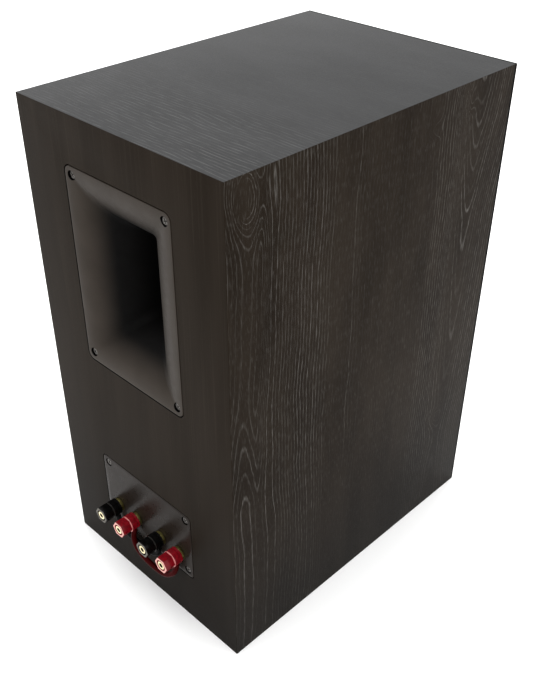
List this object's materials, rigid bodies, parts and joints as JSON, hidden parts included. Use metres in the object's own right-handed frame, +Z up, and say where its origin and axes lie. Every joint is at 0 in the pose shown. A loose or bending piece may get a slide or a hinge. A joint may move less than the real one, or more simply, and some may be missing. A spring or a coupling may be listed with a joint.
{
  "type": "bookshelf speaker",
  "caption": "Two-way loudspeaker in a black wood-grain cabinet, with a flared slot port and a row of screw-down binding posts joined by wire jumpers on its rear.",
  "frame": {"origin": "centre of the cabinet's bottom face, on the surface that the speaker stands on", "axes": "+Z up, the drivers' face towards -Y, the port and binding posts towards +Y, +X to the right seen from the front"},
  "size_m": [0.202, 0.3061, 0.399],
  "materials": {
    "side_vinyl": "black ash wood-grain vinyl over board, satin, lighter raised grain lines",
    "rear_vinyl": "plain dark vinyl over board, satin, faint vertical hairlines",
    "baffle_paint": "black satin paint over board",
    "raw_board": "bare fibreboard",
    "foam": "dark grey open-cell foam",
    "satin_plastic": "moulded dark plastic, satin with fine texture",
    "gloss_plastic": "moulded black plastic, semi-gloss",
    "red_plastic": "translucent red plastic, polished",
    "black_cap": "black plastic, polished",
    "gold_plate": "gold-plated brass, polished",
    "black_screw": "black oxide steel",
    "nickel": "nickel plate",
    "red_wire": "dark red insulation, semi-gloss",
    "black_wire": "black insulation, semi-gloss",
    "cast_metal": "black powder-coated metal",
    "steel": "zinc-plated steel",
    "ferrite": "matt grey-black ferrite",
    "rubber": "matt black butyl rubber",
    "cone": "coated dark paper, slightly fibrous",
    "cloth": "resin-stiffened cotton weave",
    "copper_coil": "enamelled copper wire",
    "dome_metal": "satin aluminium foil",
    "circuit": "green solder mask",
    "sleeve": "blue film sleeve",
    "bare_copper": "bright stranded copper"
  },
  "bodies": {
    "cabinet": {"top_panel": "side_vinyl", "bottom_panel": "side_vinyl", "left_side_panel": "side_vinyl", "right_side_panel": "side_vinyl", "rear_panel": "rear_vinyl", "front_baffle": "baffle_paint", "cross_brace": "raw_board", "damping_foam": "foam", "port_horn": "satin_plastic", "port_duct": "satin_plastic", "port_gasket": "foam", "port_screw_1": "black_screw", "port_screw_2": "black_screw", "port_screw_3": "black_screw", "port_screw_4": "black_screw", "terminal_plate": "gloss_plastic", "terminal_gasket": "foam", "terminal_screw_1": "black_screw", "terminal_screw_2": "black_screw", "terminal_screw_3": "black_screw", "terminal_screw_4": "black_screw", "post_stud_1": "gold_plate", "post_stud_2": "gold_plate", "post_stud_3": "gold_plate", "post_stud_4": "gold_plate", "post_nut_1": "nickel", "post_nut_2": "nickel", "post_nut_3": "nickel", "post_nut_4": "nickel", "jumper_red": "red_wire", "jumper_black": "black_wire", "woofer_basket": "cast_metal", "woofer_trim_ring": "satin_plastic", "woofer_surround": "rubber", "woofer_spider": "cloth", "woofer_top_plate": "steel", "woofer_magnet": "ferrite", "woofer_yoke": "steel", "tweeter_waveguide": "satin_plastic", "tweeter_top_plate": "steel", "tweeter_magnet": "ferrite", "tweeter_yoke": "steel", "crossover_board": "circuit", "crossover_coil": "copper_coil", "crossover_capacitor": "sleeve", "woofer_lead": "red_wire", "tweeter_lead": "black_wire"},
    "woofer_moving": {"woofer_cone": "cone", "woofer_dust_cap": "cone", "woofer_voice_coil": "copper_coil"},
    "tweeter_moving": {"tweeter_dome": "dome_metal", "tweeter_voice_coil": "copper_coil"},
    "ring_1": {"post_ring_1": "gold_plate"},
    "ring_2": {"post_ring_2": "gold_plate"},
    "ring_3": {"post_ring_3": "gold_plate"},
    "ring_4": {"post_ring_4": "gold_plate"},
    "cap_1": {"post_cap_1": "black_cap"},
    "cap_2": {"post_cap_2": "red_plastic"},
    "cap_3": {"post_cap_3": "black_cap"},
    "cap_4": {"post_cap_4": "red_plastic"}
  },
  "joints": [
    {"name": "woofer_travel", "type": "slide", "parent": "cabinet", "child": "woofer_moving", "axis": [0, -1, 0], "range_m": [-0.006, 0.006], "stiffness_N_per_m": 1200, "deforming": ["woofer_surround", "woofer_spider"]},
    {"name": "tweeter_travel", "type": "slide", "parent": "cabinet", "child": "tweeter_moving", "axis": [0, -1, 0], "range_m": [-0.0004, 0.0004], "stiffness_N_per_m": 2000},
    {"name": "ring_1_slide", "type": "slide", "parent": "cabinet", "child": "ring_1", "axis": [0, 1, 0], "range_m": [0, 0.004]},
    {"name": "ring_2_slide", "type": "slide", "parent": "cabinet", "child": "ring_2", "axis": [0, 1, 0], "range_m": [0, 0.004]},
    {"name": "ring_3_slide", "type": "slide", "parent": "cabinet", "child": "ring_3", "axis": [0, 1, 0], "range_m": [0, 0.004]},
    {"name": "ring_4_slide", "type": "slide", "parent": "cabinet", "child": "ring_4", "axis": [0, 1, 0], "range_m": [0, 0.004]},
    {"name": "cap_1_turn", "type": "hinge", "parent": "ring_1", "child": "cap_1", "pos_m": [0.0379, 0.155, 0.067], "axis": [0, 1, 0], "range_deg": [0, 1440]},
    {"name": "cap_2_turn", "type": "hinge", "parent": "ring_2", "child": "cap_2", "pos_m": [0.015, 0.155, 0.067], "axis": [0, 1, 0], "range_deg": [0, 1440]},
    {"name": "cap_3_turn", "type": "hinge", "parent": "ring_3", "child": "cap_3", "pos_m": [-0.015, 0.155, 0.067], "axis": [0, 1, 0], "range_deg": [0, 1440]},
    {"name": "cap_4_turn", "type": "hinge", "parent": "ring_4", "child": "cap_4", "pos_m": [-0.0379, 0.155, 0.067], "axis": [0, 1, 0], "range_deg": [0, 1440]}
  ],
  "couplings": [
    {"joint": "cap_1_turn", "follows": "ring_1_slide", "rad_per_m": 6283},
    {"joint": "cap_2_turn", "follows": "ring_2_slide", "rad_per_m": 6283},
    {"joint": "cap_3_turn", "follows": "ring_3_slide", "rad_per_m": 6283},
    {"joint": "cap_4_turn", "follows": "ring_4_slide", "rad_per_m": 6283}
  ]
}
